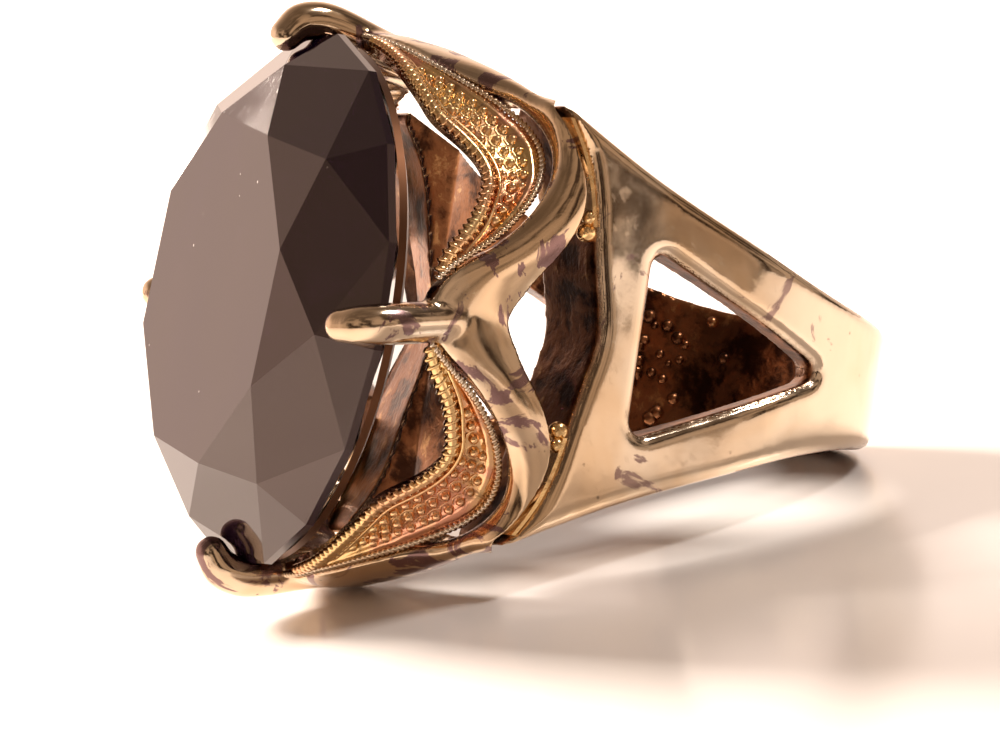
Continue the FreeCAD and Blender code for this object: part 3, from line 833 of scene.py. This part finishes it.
def middles_of(name):
    """The middle of each separate bead in a CAD node, in the ring's own axes."""
    work = bmesh.new()
    work.from_mesh(nodes[name].data)
    bmesh.ops.remove_doubles(work, verts=work.verts, dist=WELD)
    middles = []
    for found in islands_of(work):
        low = Vector(map(min, zip(*(v.co for v in found))))
        high = Vector(map(max, zip(*(v.co for v in found))))
        middles.append(STOOD_UP @ ((low + high) / 2))
    work.free()
    middles.sort(key=lambda p: tuple(round(x, 6) for x in p))
    return middles


BEAD_SINK = 0.12 * MM
for quadrant in QUADRANTS:
    points = np.array([list(p) for p in middles_of("grains_" + quadrant)])
    points = points - unit(points * (1, 1, 0)) * BEAD_SINK
    cloud_mesh = bpy.data.meshes.new("bead_places")
    cloud_mesh.from_pydata(points.tolist(), [], [])
    places_piece = link(bpy.data.objects.new("bead_places", cloud_mesh))
    beads = bead_growth.grow(places_piece, {"Seed": BEAD_SEED}, "beads")
    settle(beads, "panel_beads_" + quadrant, "gold_tone", "grains_" + quadrant)
bpy.data.objects.remove(bead_pattern)


# ---------------------------------------------------------------- seat and solder
# The seat ring is a thin bearing under the stone's edge, seen only through the windows. The brazed seams
# and their small beads hold the basket on the shank, left as they flowed, amber at the ends.

# The seat ring's dark browns are painted shade, standing for the shade under the stone's edge.
SEAT_DARK = colour(0.05, 0.022, 0.012)
SEAT_LIGHT = colour(0.16, 0.07, 0.035)

seat_shade = Finish("seat_painted_shade")
seat_shade.surface(
    Base_Color=seat_shade.blend(seat_shade.noise(500, 3), SEAT_DARK, SEAT_LIGHT),
    Metallic=1.0,
    Roughness=0.40)
nodes["seat_ring"].data.materials.clear()
nodes["seat_ring"].data.materials.append(seat_shade.material)
braze_metal = gold_metal("braze_amber", 0.1, 0.5)
for quadrant in QUADRANTS:
    seam = nodes["solder_" + quadrant]
    seam.data.materials.clear()
    seam.data.materials.append(braze_metal)


# ---------------------------------------------------------------- table top and light
# The ring lies near the front edge of a pale glossy sheet. A low warm light behind it casts the long soft
# shadow, a small softbox hangs high at the right, and the viewer's side is a dim warm room.

FLOOR_FAR = 3.0
FLOOR_NEAR = 0.085

sheet = Finish("pale_sheet")
cloudy = sheet.between(sheet.noise(30, 3), 0.3, 0.7)
sheet.surface(
    Base_Color=sheet.blend(cloudy, colour(0.86, 0.80, 0.755), colour(0.88, 0.83, 0.79)),
    Roughness=0.17 + cloudy * 0.05,
    IOR=1.50)
floor_mesh = bpy.data.meshes.new("floor")
floor_corners = [(-FLOOR_FAR, -FLOOR_NEAR, 0), (FLOOR_FAR, -FLOOR_NEAR, 0), (FLOOR_FAR, FLOOR_FAR, 0),
                 (-FLOOR_FAR, FLOOR_FAR, 0)]
floor_mesh.from_pydata(floor_corners, [], [(0, 1, 2, 3)])
floor = link(bpy.data.objects.new("floor", floor_mesh))
floor.data.materials.append(sheet.material)

ring_middle = (cad_low + cad_high) / 2


def softbox(name, way, distance, size, power, tint, mirrored=True):
    """A square light that faces the ring from the given way, seen in the metal if mirrored."""
    lamp = bpy.data.lights.new(name, "AREA")
    lamp.shape = "RECTANGLE"
    lamp.size, lamp.size_y = size
    lamp.energy = power
    lamp.color = tint
    box = link(bpy.data.objects.new(name, lamp))
    box.location = ring_middle + Vector(way).normalized() * distance
    box.visible_glossy = mirrored
    box.rotation_mode = "QUATERNION"
    box.rotation_quaternion = Vector(way).to_track_quat("Z", "Y")
    return box


softbox("key_behind", (-0.14, 0.97, 0.33), 0.9, (0.20, 0.15), 46.0, (1.0, 0.92, 0.84), False)
softbox("high_right", (0.55, -0.25, 0.75), 1.0, (0.22, 0.22), 5.0, (1.0, 0.96, 0.93))

room = bpy.data.worlds.new("room")
room.use_nodes = True
bpy.context.scene.world = room


class Room(Finish):
    """The surroundings: the same recipe, on the world's own tree."""

    def __init__(self, world):
        self.tree = world.node_tree
        self.shader = self.tree.nodes["Background"]
        self.place = self.node("ShaderNodeTexCoord", output="Generated")

    def lobe(self, way, low, high):
        """1 towards the given way and 0 away from it, on a soft edge between the two cosines."""
        toward = self.node("ShaderNodeVectorMath", {"operation": "DOT_PRODUCT"},
                           {0: self.place, 1: tuple(Vector(way).normalized())}, output="Value")
        return self.between(toward, low, high)


surroundings = Room(room)
behind = surroundings.lobe((-0.25, 1.0, 0.1), 0.05, 0.75)
ceiling = surroundings.lobe((0, 0, 1), 0.3, 0.9)
furniture = surroundings.between(surroundings.noise(2.6, 3, 0.5, 0.4), 0.42, 0.62)
dim = surroundings.blend(furniture, colour(0.045, 0.028, 0.018), colour(0.62, 0.46, 0.34))
glow = surroundings.blend(behind, dim, colour(1.45, 1.10, 0.90))
glow = surroundings.blend(ceiling * 0.85, glow, colour(0.20, 0.145, 0.105))
surroundings.surface(Color=glow, Strength=1.0)

bpy.context.scene.view_settings.view_transform = "Standard"
bpy.context.scene.view_settings.exposure = 0.0
